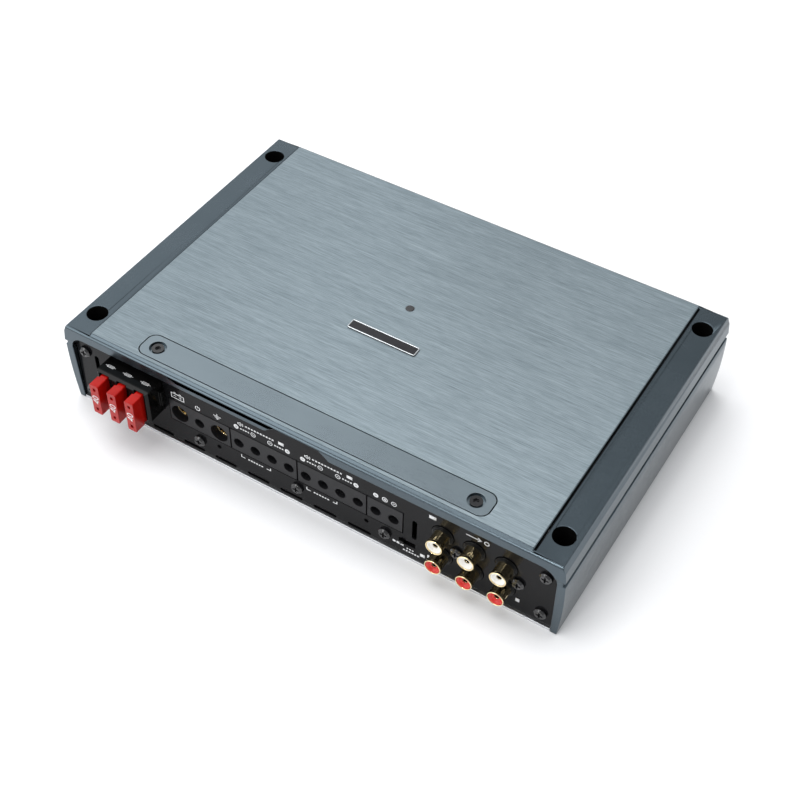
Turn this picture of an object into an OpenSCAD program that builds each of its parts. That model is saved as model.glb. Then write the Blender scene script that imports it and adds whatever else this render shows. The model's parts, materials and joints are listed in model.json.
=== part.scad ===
// Car amplifier: die-cast top frame, brushed cover plate, black connector panel,
// three plug-in fuses, wire terminals, phono inputs and a covered control bay.
// X runs along the length, Y from the connector side (-Y) to the rear, Z up from the mounting surface.

/* [Overall size] */
// Width across the two sides
body_w = 270; // [266:1:330]
// Depth over the front and rear lips
body_d = 178.4; // [172:0.1:220]
// Height of the rail tops
body_h = 50; // [49:0.5:62]

/* [Top frame and plate] */
// Flat width of each side rail
rail_w = 13.8; // [12:0.1:17]
// Thickness of the brushed plate
plate_t = 1.25; // [1:0.05:2]
// Groove between the plate and each rail
groove_w = 0.8; // [0.4:0.1:1.2]
// Drop of the front lip over the connector panel
lip_h = 5.8; // [4.6:0.1:6.8]
// Radius of the panel opening's upper corners
opening_r = 8; // [4:0.5:9]
// Height of the parting line between frame and sides
parting_drop = 10; // [9:0.5:12]

/* [Mounting wells] */
// Distance of the mounting holes in from each side
mount_inset_x = 9.5; // [9.5:0.1:13]
// Distance of the mounting holes in from each lip
mount_inset_y = 15.2; // [14.2:0.1:19]
// Diameter of the screw-head wells
well_d = 10.3; // [8:0.1:11]
// Diameter of the screw holes at the foot of the wells
mount_hole_d = 5; // [4:0.1:6]

/* [Access cover] */
// Length of the cover strip
cover_l = 186.6; // [180:0.1:200]
// Width of the cover strip
cover_w = 13.7; // [12.5:0.1:14.5]
// Gap around the cover
cover_gap = 0.5; // [0.3:0.05:0.8]
// Corner radius of the cover
cover_r = 4.5; // [3:0.1:6]

/* [Terminals] */
// Spacing of the speaker wire holes
wire_pitch = 9.44; // [7.8:0.02:9.6]
// Diameter of the speaker wire holes
wire_d = 5.4; // [4.5:0.1:6]
// Diameter of the power wire holes
power_d = 9.8; // [9:0.1:10.4]
// Diameter of the power clamp screws
clamp_screw_d = 4.8; // [4:0.1:5.8]

/* [Phono jacks] */
// Outside diameter of the barrels
jack_d = 8.3; // [6.9:0.1:9]
// Length of barrel in front of the panel
jack_out = 8.4; // [7:0.1:11]
// Spacing of the jack columns
jack_pitch_x = 15.75; // [14:0.05:17]
// Spacing of the jack rows
jack_pitch_z = 14.2; // [12.5:0.1:14.4]

/* [Fuses] */
// Width of a fuse body
fuse_w = 19.1; // [18:0.1:19.4]
// Thickness of a fuse body
fuse_t = 5.1; // [4.2:0.1:6.2]
// Spacing of the fuses
fuse_pitch = 10.35; // [9:0.05:10.6]

/* [Hidden] */

round_fn = 64;
small_fn = 32;
cut = 1;
half_w = body_w / 2;
half_d = body_d / 2;

// Frame and sides
side_t = 4;
inner_w = half_w - side_t;
well_x = half_w - mount_inset_x;
well_y = half_d - mount_inset_y;
rail_slope = 2.3;
rail_in = half_w - rail_slope - rail_w;
rail_edge = 0.8;
rail_edge_drop = 3.8;
parting_z = body_h - parting_drop;
deck_t = 3.5;
deck_z = body_h - deck_t;
lip_z = body_h - lip_h;
lip_t = 3.1;
lip_chamfer = 0.9;
notch_top = 11.8;
notch_foot = 17.6;
notch_z = body_h - 1.5;
seam_h = 3;
seam_inset = 1.2;
cheek_foot = 0.8;
cheek_bulge = 0.7;
cheek_rake = 1.7;
cheek_steps = 12;
cheek_top_y = half_d - 0.3;
corner_block_w = 10.5;
corner_block_d = 8;
boss_d = 16;
flange_t = 3.5;
flange_w = 12;
foot_z = 5;

// Sheet parts
base_t = 1.5;
panel_t = 1.2;
panel_y = -(half_d - lip_t);
panel_back = panel_y + panel_t;
panel_half = inner_w - 0.2;
panel_top = body_h - 1.4;
panel_gap = 0.2;

// Plate, badge and indicator
plate_half = rail_in - groove_w;
plate_front = half_d - lip_chamfer - plate_t;
plate_top = body_h + plate_t;
groove_depth = 1;
plate_chamfer = 0.5;
badge_w = 37.5;
badge_d = 6;
badge_t = 0.6;
badge_y = -15.5;
lens_d = 4.4;
lens_rod_d = 3;
lens_gap = 0.2;
lens_y = 9;

// Cover and the bay under it
cover_y = -(half_d - 11.25);
bay_half_x = 79;
bay_ledge = 1.15;
bay_w = cover_w - 2 * bay_ledge;
cover_screw_x = cover_l / 2 - 7.8;
cover_boss_d = 9.6;
cover_boss_h = 2;
cover_recess_d = 8.3;
cover_recess_depth = 1.9;
cover_boss_hole = 10.2;
cover_floor_z = body_h - cover_boss_h;
cover_pillar_h = 6.5;
cover_screw_head_d = 6;
cover_screw_head_h = 1.6;
cover_screw_l = 8;

// Screws
m3_d = 3;
m3_head_d = 6.2;
m3_head_h = 1.9;
m3_clear = 0.05;
hex_key = 3;
base_screw_l = 6;
spacer_screw_l = 4.5;
board_screw_l = 4.5;
control_screw_l = 7;
clamp_bar_screw_l = 10;
base_screw_y = [-50, 0, 50];
corner_screw_x = inner_w - 5.8;
corner_screw_z = [34.5 / 50 * body_h, 8.5];
corner_screw_l = 6;
panel_screw_l = 4.5;
rear_screw_at = [[-44, 10], [44, 10], [0, 38]];

// Wire terminals
block_top = 29.6;
block_face_z = 16;
block_front = panel_y + 0.1;
block_depth = 20;
block_gap = 0.7;
row_z = 21.9;
row_x = -40.1;
group_w = 4 * wire_pitch;
power_x = [-69.8, -46.7];
remote_x = -58.25;
power_left = row_x - 35.4;
block_screw_at = [[row_x - 18.6, 10], [row_x + group_w, 11], [row_x + 9.07 * wire_pitch, 10]];
cage_y = panel_y + 4.2;
clamp_y = panel_y + 5.1 + clamp_screw_d / 4;
cage_w = 7.4;
cage_l = 7;
cage_h = 10;
cage_bore = wire_d - 0.8;
power_cage_w = 11.6;
power_cage_l = 12;
power_cavity = power_d - 1;
power_cage_top = block_top - 0.3;
power_cage_foot = row_z - power_cavity / 2 - 1.6;
pad_l = 9;
pad_t = 1.2;
pad_top = row_z + power_cavity / 2 - 0.3;
clamp_screw_l = 8;
thread_gap = 0.1;
wire_screw_l = 7;
wire_screw_head_d = 4;
wire_screw_head_h = 3;
wire_screw_shaft_d = 4.4;
wire_screw_slot = 0.7;

// Phono jacks
jack_x = 90.7;
jack_top_z = 28.5;
jack_mid_z = jack_top_z - jack_pitch_z / 2;
jack_screw_at = [[jack_x - jack_pitch_x / 2 - 0.5, jack_mid_z],
    [jack_x + jack_pitch_x + 6.6, jack_mid_z]];
panel_screw_at = concat(block_screw_at, jack_screw_at);
collar_d = jack_d + 2.8;
collar_out = 1.5;
collar_step = 0.9;
jack_root_d = jack_d - 0.4;
jack_bore_d = jack_d - 1.6;
jack_depth = 14;
contact_d = 3.4;
contact_t = 0.4;
housing_w = 2 * jack_pitch_x + collar_d + 4;
housing_d = 15;

// Input selector
selector_x = row_x + 10.3 * wire_pitch;
selector_z = 10.4;
selector_slot = 8.6;
selector_slot_h = 3;
selector_rest = -2.4;
selector_lever_w = 2.2;
selector_lever_h = 1.9;
selector_lever_out = 1.2;
selector_case_w = 13;
selector_case_h = 7;

// Panel slots
left_slot = [-118.9, 28.6, 11.3];
right_slot = [row_x + 10.67 * wire_pitch, 21.9, 12.9];
slot_w = 2.4;
vent_n = 7;
vent_pitch = 18.93;
vent_x = -82;
vent_z = 3.4;
vent_l = 12.5;
vent_h = 1.9;
pin_at = [[row_x - 7.3, 12.1], [row_x + 8 * wire_pitch, 11.8]];
pin_d = 2;
rear_vent_n = 10;
rear_vent_z = [18, 24, 30];
rear_vent_pitch = 20;
rear_vent_l = 14;
rear_vent_h = 2.4;

// Fuses
fuse_x = -93.9;
fuse_z = 29;
fuse_front = panel_y - 18.8;
fuse_head = 6;
fuse_body = 12;
fuse_neck = 0.5;
holder_w = 2 * fuse_pitch + fuse_t + 4.6;
holder_z = [20.7, 40];
holder_front = panel_y - 11.3;
holder_back = panel_y + 8;
socket_depth = 4.8;
socket_gap = 0.25;
blade_w = 5.2;
blade_t = 0.65;
blade_z = 4.9;
window_z = 6.5;
blade_end = panel_y + 0.3;
clip_gap = 0.1;
clip_t = 0.4;
clip_slot = blade_t + 2 * (clip_gap + clip_t);
window = [1.5, 1.9];
bridge = [4, 6];
holder_ear = [1.6, 3, 9];
holder_side_chamfer = 1.6;
holder_top_chamfer = 2.4;

// Boards
board_t = 1.6;
board_z = 8;
board_top = board_z + board_t;
board_half_x = inner_w - 15.2;
board_front = panel_y + 8.6;
board_rear = half_d - 9;
spacer_x = board_half_x - 8;
spacer_y = [-62, 0, 66];
spacer_d = 6;
control_z = deck_z - 10.5;
control_t = 1.2;
control_top = control_z + control_t;
control_front = panel_y + 7.9;
control_rear = control_front + 18;
control_half = 78;
control_screw_x = [-71, 0, 71];
control_screw_y = control_rear - 4;
pillar_d = 6;

// Controls in the bay
control_y = panel_y + 11.2;
trimmer_w = 6.6;
trimmer_h = 4.6;
knob_d = 5.4;
knob_h = 3.6;
knob_stem_d = 2;
knob_gap = 0.2;
knob_slot_w = 1;
knob_slot_h = 1.2;
knob_eye_d = 2.4;
switch_w = 8.6;
switch_d = 3.8;
switch_h = 3.6;
switch_travel = 3;
switch_lever = 1.5;
switch_lever_z = 1.8;
switch_lever_h = 4.6;
gain_x = [-64, -20, 44];
filter_x = [-52, -8, 56];
switch_x = [-38, 68];

// Inside
toroid_x = -55;
toroid_y = 0;
toroid_r = 16;
toroid_core_w = 7;
toroid_core_h = 14;
toroid_base = board_top + 2.2;
toroid_wire = 1.6;
toroid_turns = 30;
cap_d = 18;
cap_h = 30;
cap_x = [50, 71, 92];
cap_y = [-14, 8];
choke_d = 20;
choke_h = 14;
choke_y = -44;
choke_x = [-72, -36, 0, 36, 72];
web_y = 60;
web_t = 6;
web_half = 100;
web_foot = board_top + 3;
transistor_n = 12;
transistor_pitch = 16;
transistor = [10, 4.5, 15.5];
transistor_z = board_top + 5;
clamp_bar_z = transistor_z + 8;
clamp_bar = [2 * web_half, 2, 7];

module rounded_rect(w, h, r) {
    square([w - 2 * r, h], center = true);
    square([w, h - 2 * r], center = true);
    for (x = [-1, 1], y = [-1, 1])
        translate([x * (w / 2 - r), y * (h / 2 - r)])
            circle(r = r, $fn = round_fn);
}

// Draws a flat outline upright, x to the right and z up, and pushes it towards the front from y
module towards_front(y, depth) {
    translate([0, y, 0])
        rotate([90, 0, 0])
            linear_extrude(height = depth)
                children();
}

module box_between(low, high) {
    translate(low)
        cube(high - low);
}

// Bore or rod along Y, running towards the front from y
module rod_to_front(x, y, z, d, length, fn = round_fn) {
    translate([x, y, z])
        rotate([90, 0, 0])
            cylinder(h = length, d = d, $fn = fn);
}

// Cross recess, sunk below z = 0
module cross_recess(size, depth) {
    for (a = [0, 90])
        rotate([0, 0, a])
            translate([-size / 2, -size / 8, -depth])
                cube([size, size / 4, depth + cut]);
}

// Pan-head screw with its head above z = 0 and its shank below
module pan_screw(length) {
    difference() {
        union() {
            cylinder(h = m3_head_h * 0.55, d = m3_head_d, $fn = small_fn);
            translate([0, 0, m3_head_h * 0.55])
                cylinder(h = m3_head_h * 0.45, d1 = m3_head_d, d2 = m3_head_d * 0.72, $fn = small_fn);
            translate([0, 0, -length])
                cylinder(h = length, d = m3_d - 2 * m3_clear, $fn = small_fn);
        }
        translate([0, 0, m3_head_h])
            cross_recess(m3_head_d * 0.55, m3_head_h * 0.6);
    }
}

// Countersunk screw, flush with z = 0, shank above it
module flush_screw(length) {
    difference() {
        union() {
            cylinder(h = base_t, d1 = m3_head_d, d2 = m3_d, $fn = small_fn);
            cylinder(h = length, d = m3_d - 2 * m3_clear, $fn = small_fn);
        }
        mirror([0, 0, 1])
            cross_recess(m3_head_d * 0.55, m3_head_h * 0.4);
    }
}

module wells(low, high, d) {
    for (x = [-1, 1], y = [-1, 1])
        translate([x * well_x, y * well_y, low])
            cylinder(h = high - low, d = d, $fn = round_fn);
}

// Outline of the panel opening under the lip, with round upper corners
module opening_outline(notched) {
    translate([0, lip_z / 2 - body_h / 2])
        rounded_rect(2 * inner_w, lip_z + body_h, opening_r);
    if (notched)
        polygon([[-notch_foot, lip_z - cut / 10], [-notch_top, notch_z],
            [notch_top, notch_z], [notch_foot, lip_z - cut / 10]]);
}

module frame_outline() {
    polygon([[-half_w, parting_z], [-half_w + rail_edge, body_h - rail_edge_drop],
        [-half_w + rail_slope, body_h], [half_w - rail_slope, body_h],
        [half_w - rail_edge, body_h - rail_edge_drop], [half_w, parting_z]]);
}

module cover_outline(grow) {
    translate([0, cover_y])
        rounded_rect(cover_l + 2 * grow, cover_w + 2 * grow, cover_r + grow);
}

// Strip that carries the lip's chamfer on up to the front edge of the plate
module lip_slope() {
    rotate([90, 0, 90])
        linear_extrude(height = 2 * plate_half, center = true)
            polygon([[-half_d + lip_chamfer, body_h], [-plate_front, plate_top],
                [-plate_front, body_h - cut], [-half_d + lip_chamfer, body_h - cut]]);
}

module top_frame() {
    color([0.42, 0.48, 0.53]) difference() {
        union() {
            difference() {
                towards_front(half_d, body_d)
                    frame_outline();
                box_between([-inner_w, panel_back, parting_z - cut], [inner_w, -panel_back, deck_z]);
                for (side = [0, 180])
                    rotate([0, 0, side])
                        box_between([-inner_w, panel_y - 0.1, parting_z - cut],
                            [inner_w, panel_back + 0.1, panel_top + 0.1]);
                towards_front(panel_y + cut, lip_t + 2 * cut)
                    opening_outline(true);
                towards_front(half_d + cut, lip_t + 2 * cut)
                    opening_outline(false);
            }
            wells(parting_z, deck_z + cut, boss_d);
            for (x = [-1, 1])
                translate([x * cover_screw_x, cover_y, cover_floor_z - cover_pillar_h])
                    cylinder(h = cover_pillar_h, d = pillar_d + 2, $fn = small_fn);
            for (x = control_screw_x)
                translate([x, control_screw_y, control_top])
                    cylinder(h = deck_z - control_top + cut, d = pillar_d, $fn = small_fn);
            box_between([-web_half, web_y, web_foot], [web_half, web_y + web_t, deck_z + cut]);
            for (side = [0, 180])
                rotate([0, 0, side])
                    lip_slope();
        }
        wells(parting_z - cut, body_h + cut, well_d);
        for (x = [-1, 1])
            translate([x * (plate_half + groove_w / 2), 0, body_h])
                cube([groove_w, 2 * plate_front, 2 * groove_depth], center = true);
        translate([0, 0, body_h])
            for (side = [-1, 1])
                translate([0, side * half_d, 0])
                    rotate([45, 0, 0])
                        cube([body_w + cut, lip_chamfer * sqrt(2), lip_chamfer * sqrt(2)], center = true);
        box_between([-bay_half_x, cover_y - bay_w / 2, deck_z - cut],
            [bay_half_x, cover_y + bay_w / 2, body_h + cut]);
        for (x = [-1, 1])
            translate([x * cover_screw_x, cover_y, 0]) {
                translate([0, 0, cover_floor_z])
                    cylinder(h = deck_t, d = cover_boss_hole, $fn = round_fn);
                translate([0, 0, cover_floor_z - cover_pillar_h - cut])
                    cylinder(h = cover_pillar_h + 2 * cut, d = m3_d, $fn = small_fn);
            }
        for (x = control_screw_x)
            translate([x, control_screw_y, control_top - cut])
                cylinder(h = control_screw_l + cut, d = m3_d, $fn = small_fn);
        for (x = clamp_screw_xs())
            rod_to_front(x, web_y + 5, clamp_bar_z, m3_d, 5 + cut, small_fn);
        translate([0, lens_y, deck_z - cut])
            cylinder(h = deck_t + 2 * cut, d = lens_rod_d + 2 * lens_gap, $fn = small_fn);
    }
}

module top_plate() {
    color([0.55, 0.61, 0.66]) difference() {
        translate([0, 0, body_h])
            linear_extrude(height = plate_t)
                difference() {
                    square([2 * plate_half, 2 * plate_front], center = true);
                    cover_outline(cover_gap);
                    translate([0, lens_y])
                        circle(d = lens_d, $fn = small_fn);
                }
        for (side = [-1, 1])
            translate([side * plate_half, 0, plate_top])
                rotate([0, 45, 0])
                    cube([plate_chamfer, body_d, plate_chamfer], center = true);
    }
}

module access_cover() {
    color([0.50, 0.56, 0.61]) difference() {
        union() {
            translate([0, 0, body_h])
                linear_extrude(height = plate_t)
                    cover_outline(0);
            for (x = [-1, 1])
                translate([x * cover_screw_x, cover_y, cover_floor_z + 0.1])
                    cylinder(h = cover_boss_h, d = cover_boss_d, $fn = round_fn);
        }
        for (x = [-1, 1])
            translate([x * cover_screw_x, cover_y, 0]) {
                translate([0, 0, plate_top - cover_recess_depth])
                    cylinder(h = cover_recess_depth + cut, d = cover_recess_d, $fn = round_fn);
                cylinder(h = body_h, d = m3_d + 0.3, $fn = small_fn);
            }
    }
}

module access_cover_screws() {
    color([0.12, 0.12, 0.13])
        for (x = [-1, 1])
            translate([x * cover_screw_x, cover_y, plate_top - cover_recess_depth])
                difference() {
                    union() {
                        cylinder(h = cover_screw_head_h, d = cover_screw_head_d, $fn = small_fn);
                        translate([0, 0, -cover_screw_l])
                            cylinder(h = cover_screw_l, d = m3_d - 2 * m3_clear, $fn = small_fn);
                    }
                    translate([0, 0, 0.5])
                        cylinder(h = cover_screw_head_h, d = hex_key, $fn = 6);
                }
}

function cheek_x(t) = half_w - cheek_foot * (1 - t) + cheek_bulge * sin(180 * t);

module cheek_section() {
    wall_h = parting_z - seam_h;
    polygon(concat([[inner_w, 0]],
        [for (i = [0:cheek_steps]) [cheek_x(i / cheek_steps), wall_h * i / cheek_steps]],
        [[half_w - seam_inset, wall_h], [half_w - seam_inset, parting_z], [inner_w, parting_z]]));
}

// Right-hand side casting; the left one is its mirror image
module cheek() {
    difference() {
        union() {
            towards_front(cheek_top_y, 2 * cheek_top_y)
                cheek_section();
            for (y = [-1, 1])
                translate([well_x, y * well_y, base_t])
                    cylinder(h = parting_z - base_t, d = boss_d, $fn = round_fn);
            for (y = [-1, 1])
                box_between([inner_w - corner_block_w,
                        y < 0 ? panel_back : -panel_back - corner_block_d, base_t],
                    [inner_w + cut, y < 0 ? panel_back + corner_block_d : -panel_back, parting_z]);
            box_between([inner_w - flange_w, panel_back, base_t],
                [inner_w + cut, -panel_back, base_t + flange_t]);
            for (y = [-cheek_top_y, -panel_y])
                difference() {
                    box_between([inner_w - 2, y, parting_z - seam_h],
                        [inner_w + cut, y + cheek_top_y + panel_y, parting_z]);
                    towards_front(half_d + cut, body_d + 2 * cut)
                        opening_outline(false);
                }
        }
        wells(foot_z, parting_z + cut, well_d);
        wells(-cut, foot_z + cut, mount_hole_d);
        for (end = [0, 180])
            rotate([0, 0, end])
                for (x = [-1, 1], z = corner_screw_z)
                    rod_to_front(x * corner_screw_x, panel_back + corner_screw_l, z, m3_d,
                        corner_screw_l + cut, small_fn);
        for (y = base_screw_y)
            translate([inner_w - flange_w / 2, y, -cut])
                cylinder(h = base_screw_l + 2 * cut, d = m3_d, $fn = small_fn);
        translate([half_w, -cheek_top_y, parting_z])
            rotate([atan(cheek_rake / parting_z), 0, 0])
                translate([-2 * side_t, -10, -2 * body_h])
                    cube([4 * side_t, 10, 2 * body_h]);
    }
}

module left_cheek() {
    color([0.44, 0.50, 0.55])
        mirror([1, 0, 0])
            cheek();
}

module right_cheek() {
    color([0.36, 0.41, 0.46])
        cheek();
}

module base_plate() {
    color([0.70, 0.72, 0.74]) difference() {
        box_between([-panel_half, panel_y - 0.9, 0], [panel_half, -panel_y + 0.9, base_t]);
        wells(-cut, base_t + cut, mount_hole_d);
        for (x = [-1, 1], y = base_screw_y)
            translate([x * (inner_w - flange_w / 2), y, 0]) {
                cylinder(h = base_t, d1 = m3_head_d, d2 = m3_d, $fn = small_fn);
                translate([0, 0, -cut])
                    cylinder(h = base_t + 2 * cut, d = m3_d, $fn = small_fn);
            }
        for (x = [-1, 1], y = spacer_y)
            translate([x * spacer_x, y, 0]) {
                cylinder(h = base_t, d1 = m3_head_d, d2 = m3_d, $fn = small_fn);
                translate([0, 0, -cut])
                    cylinder(h = base_t + 2 * cut, d = m3_d, $fn = small_fn);
            }
    }
}

module base_screws() {
    color([0.75, 0.76, 0.78]) {
        for (x = [-1, 1], y = base_screw_y)
            translate([x * (inner_w - flange_w / 2), y, 0])
                flush_screw(base_screw_l);
        for (x = [-1, 1], y = spacer_y)
            translate([x * spacer_x, y, 0])
                flush_screw(spacer_screw_l);
    }
}

// Round-ended slot outline centred on a point, long along x or along z
module slot_outline(x, z, length, width) {
    translate([x, z])
        rounded_rect(length, width, min(length, width) / 2 - 0.01);
}

module terminal_outline(grow) {
    polygon([[power_left - grow, block_face_z - grow], [power_left - grow, block_top + 3.5 * grow],
        [sub_right() + 3 * grow, block_top + 3.5 * grow], [sub_right() + 3 * grow, block_face_z - grow]]);
}

function sub_right() = row_x + 10 * wire_pitch;

module holder_outline(grow) {
    translate([fuse_x - holder_w / 2 - grow, holder_z[0] - grow])
        square([holder_w + 2 * grow, holder_z[1] - holder_z[0] + 2 * grow]);
}

module front_panel() {
    color([0.10, 0.10, 0.11]) difference() {
        towards_front(panel_back, panel_t)
            difference() {
                translate([-panel_half, base_t + 0.1])
                    square([2 * panel_half, panel_top - base_t - 0.1]);
                terminal_outline(panel_gap);
                holder_outline(panel_gap);
                slot_outline(left_slot[0], left_slot[1], slot_w, left_slot[2]);
                slot_outline(right_slot[0], right_slot[1], slot_w, right_slot[2]);
                for (i = [0:vent_n - 1])
                    slot_outline(vent_x + i * vent_pitch, vent_z, vent_l, vent_h);
                translate([selector_x, selector_z])
                    square([selector_slot, selector_slot_h], center = true);
            }
        for (i = [-1, 0, 1], j = [0, 1])
            rod_to_front(jack_x + i * jack_pitch_x, panel_back + cut, jack_top_z - j * jack_pitch_z,
                collar_d + 2 * panel_gap, panel_t + 2 * cut);
        for (x = [-1, 1], z = corner_screw_z)
            rod_to_front(x * corner_screw_x, panel_back + cut, z, m3_d, panel_t + 2 * cut, small_fn);
        for (p = panel_screw_at)
            rod_to_front(p[0], panel_back + cut, p[1], m3_d, panel_t + 2 * cut, small_fn);
        for (p = pin_at)
            rod_to_front(p[0], panel_back + cut, p[1], pin_d + 0.3, panel_t + 2 * cut, small_fn);
    }
}

module rear_panel() {
    color([0.10, 0.10, 0.11]) difference() {
        towards_front(-panel_y, panel_t)
            difference() {
                translate([-panel_half, base_t + 0.1])
                    square([2 * panel_half, panel_top - base_t - 0.1]);
                for (i = [0:rear_vent_n - 1], z = rear_vent_z)
                    slot_outline((i - (rear_vent_n - 1) / 2) * rear_vent_pitch, z,
                        rear_vent_l, rear_vent_h);
            }
        for (x = [-1, 1], z = corner_screw_z)
            rod_to_front(x * corner_screw_x, -panel_y + cut, z, m3_d, panel_t + 2 * cut, small_fn);
        for (p = rear_screw_at)
            rod_to_front(p[0], -panel_y + cut, p[1], m3_d, panel_t + 2 * cut, small_fn);
    }
}

module panel_screws() {
    color([0.16, 0.16, 0.17]) {
        for (end = [0, 180])
            rotate([0, 0, end])
                for (x = [-1, 1], z = corner_screw_z)
                    translate([x * corner_screw_x, panel_y, z])
                        rotate([90, 0, 0])
                            pan_screw(corner_screw_l);
        for (p = panel_screw_at)
            translate([p[0], panel_y, p[1]])
                rotate([90, 0, 0])
                    pan_screw(panel_screw_l);
        for (p = rear_screw_at)
            translate([p[0], -panel_y, p[1]])
                rotate([-90, 0, 0])
                    pan_screw(panel_screw_l);
    }
}

module badge_plate() {
    color([0.07, 0.07, 0.08])
        translate([0, badge_y, plate_top])
            linear_extrude(height = badge_t)
                rounded_rect(badge_w, badge_d, 1);
}

module indicator_lens() {
    color([0.85, 0.85, 0.9, 0.8])
        translate([0, lens_y, 0]) {
            translate([0, 0, body_h])
                cylinder(h = plate_t + 0.2, d = lens_d - 0.1, $fn = small_fn);
            translate([0, 0, board_top + 3.4])
                cylinder(h = body_h - board_top - 3.4, d = lens_rod_d, $fn = small_fn);
        }
}

module indicator_led() {
    color([0.9, 0.25, 0.2])
        translate([0, lens_y, board_top]) {
            cylinder(h = 1, d = 3.6, $fn = small_fn);
            cylinder(h = 3, d = 3, $fn = small_fn);
        }
}

function fuse_at(i) = fuse_x + (i - 1) * fuse_pitch;

module fuse_holder() {
    color([0.06, 0.06, 0.06]) difference() {
        union() {
            towards_front(holder_back, holder_back - holder_front)
                holder_outline(0);
            for (side = [-1, 1])
                translate([fuse_x + side * (holder_w / 2 + 0.6), panel_y - holder_ear[1] / 2 - 0.1,
                        (holder_z[0] + holder_z[1]) / 2])
                    cube(holder_ear, center = true);
        }
        for (side = [-1, 1])
            translate([fuse_x + side * holder_w / 2, holder_front, 0])
                rotate([0, 0, 45])
                    cube([holder_side_chamfer, holder_side_chamfer, 3 * body_h], center = true);
        translate([fuse_x, holder_front, holder_z[1]])
            rotate([45, 0, 0])
                cube([2 * holder_w, holder_top_chamfer, holder_top_chamfer], center = true);
        for (i = [0:2])
            translate([fuse_at(i), 0, 0]) {
                box_between([-fuse_t / 2 - socket_gap, holder_front - cut, fuse_z - fuse_w / 2 - socket_gap],
                    [fuse_t / 2 + socket_gap, holder_front + socket_depth, fuse_z + fuse_w / 2 + socket_gap]);
                for (side = [-1, 1])
                    translate([0, 0, fuse_z + side * blade_z])
                        box_between([-clip_slot / 2, holder_front, -blade_w / 2 - 0.3],
                            [clip_slot / 2, holder_back + cut, blade_w / 2 + 0.3]);
            }
    }
}

module fuse_clips() {
    leaf_front = holder_front + socket_depth + 1;
    color([0.75, 0.70, 0.45])
        for (i = [0:2], side = [-1, 1])
            translate([fuse_at(i), 0, fuse_z + side * blade_z]) {
                for (leaf = [-1, 1])
                    translate([leaf * (blade_t / 2 + clip_gap + clip_t / 2),
                            (leaf_front + holder_back) / 2, 0])
                        cube([clip_t, holder_back - leaf_front, blade_w], center = true);
                translate([0, holder_back + 0.5, 0])
                    cube([clip_slot, 1, blade_w], center = true);
            }
}

module fuse(i) {
    back = fuse_front + fuse_body;
    color([0.80, 0.06, 0.04]) difference() {
        union() {
            translate([fuse_at(i), fuse_front + fuse_head, fuse_z])
                rotate([90, 0, 0])
                    linear_extrude(height = fuse_head)
                        rounded_rect(fuse_t, fuse_w, 0.6);
            translate([fuse_at(i), back, fuse_z])
                rotate([90, 0, 0])
                    linear_extrude(height = fuse_body - fuse_head)
                        rounded_rect(fuse_t - 2 * fuse_neck, fuse_w - 2 * fuse_neck, 0.6);
        }
        for (side = [-1, 1])
            translate([fuse_at(i), 0, fuse_z]) {
                translate([0, 0, side * blade_z])
                    box_between([-blade_t / 2, fuse_front + 1, -blade_w / 2],
                        [blade_t / 2, back + cut, blade_w / 2]);
                translate([-window[0] / 2, fuse_front - cut, side * window_z - window[1] / 2])
                    cube([window[0], 1 + cut, window[1]]);
            }
        box_between([fuse_at(i) - blade_t / 2, fuse_front + bridge[0], fuse_z - blade_z],
            [fuse_at(i) + blade_t / 2, fuse_front + bridge[1], fuse_z + blade_z]);
    }
}

module fuse_blades(i) {
    color([0.78, 0.78, 0.80]) {
        for (side = [-1, 1])
            translate([fuse_at(i), 0, fuse_z + side * blade_z])
                box_between([-blade_t / 2, fuse_front + 1, -blade_w / 2],
                    [blade_t / 2, blade_end, blade_w / 2]);
        box_between([fuse_at(i) - blade_t / 2, fuse_front + bridge[0], fuse_z - blade_z],
            [fuse_at(i) + blade_t / 2, fuse_front + bridge[1], fuse_z + blade_z]);
    }
}

module fuse_1() { fuse(0); }
module fuse_2() { fuse(1); }
module fuse_3() { fuse(2); }
module fuse_1_blades() { fuse_blades(0); }
module fuse_2_blades() { fuse_blades(1); }
module fuse_3_blades() { fuse_blades(2); }

// Moulded block that stands on the board, with its nose through the panel, between two x values.
// Its foot stops short of the right end by foot_cut, and the panel screws thread into it.
module terminal_body(left, right, foot_cut = 0) {
    difference() {
        union() {
            box_between([left, block_front, block_face_z], [right, block_front + block_depth, block_top]);
            box_between([left, panel_back + 0.1, board_top],
                [right - foot_cut, block_front + block_depth, block_face_z + cut]);
        }
        for (p = block_screw_at)
            rod_to_front(p[0], panel_back + panel_screw_l, p[1], m3_d, panel_screw_l + cut, small_fn);
        for (p = pin_at)
            rod_to_front(p[0], panel_back + panel_screw_l, p[1], pin_d, panel_screw_l + cut, small_fn);
    }
}

module wire_cell_cut(x) {
    rod_to_front(x, cage_y + cut, row_z, wire_d, cage_y - block_front + 2 * cut);
    translate([x, clamp_y, row_z])
        cylinder(h = block_top - row_z + cut, d = wire_screw_shaft_d, $fn = small_fn);
    translate([x - cage_w / 2, cage_y, row_z - cage_h / 2])
        cube([cage_w, cage_l, cage_h]);
}

// Pressed brass cage: the wire goes in along Y, the screw comes down from above
module wire_cage(x) {
    difference() {
        translate([x - cage_w / 2, cage_y, row_z - cage_h / 2])
            cube([cage_w, cage_l, cage_h]);
        rod_to_front(x, cage_y + cage_l - 1, row_z, cage_bore, cage_l, small_fn);
        translate([x, clamp_y, row_z])
            cylinder(h = cage_h, d = m3_d, $fn = small_fn);
    }
}

function speaker_x(i) = row_x + (i + 0.5) * wire_pitch;

module wire_terminal(left, right, first, last, foot_cut = 0) {
    color([0.13, 0.13, 0.14]) difference() {
        terminal_body(left, right, foot_cut);
        for (i = [first:last])
            wire_cell_cut(speaker_x(i));
    }
}

module speaker_a_terminal_block() {
    wire_terminal(row_x + block_gap / 2, row_x + group_w - block_gap / 2, 0, 3);
}

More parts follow.
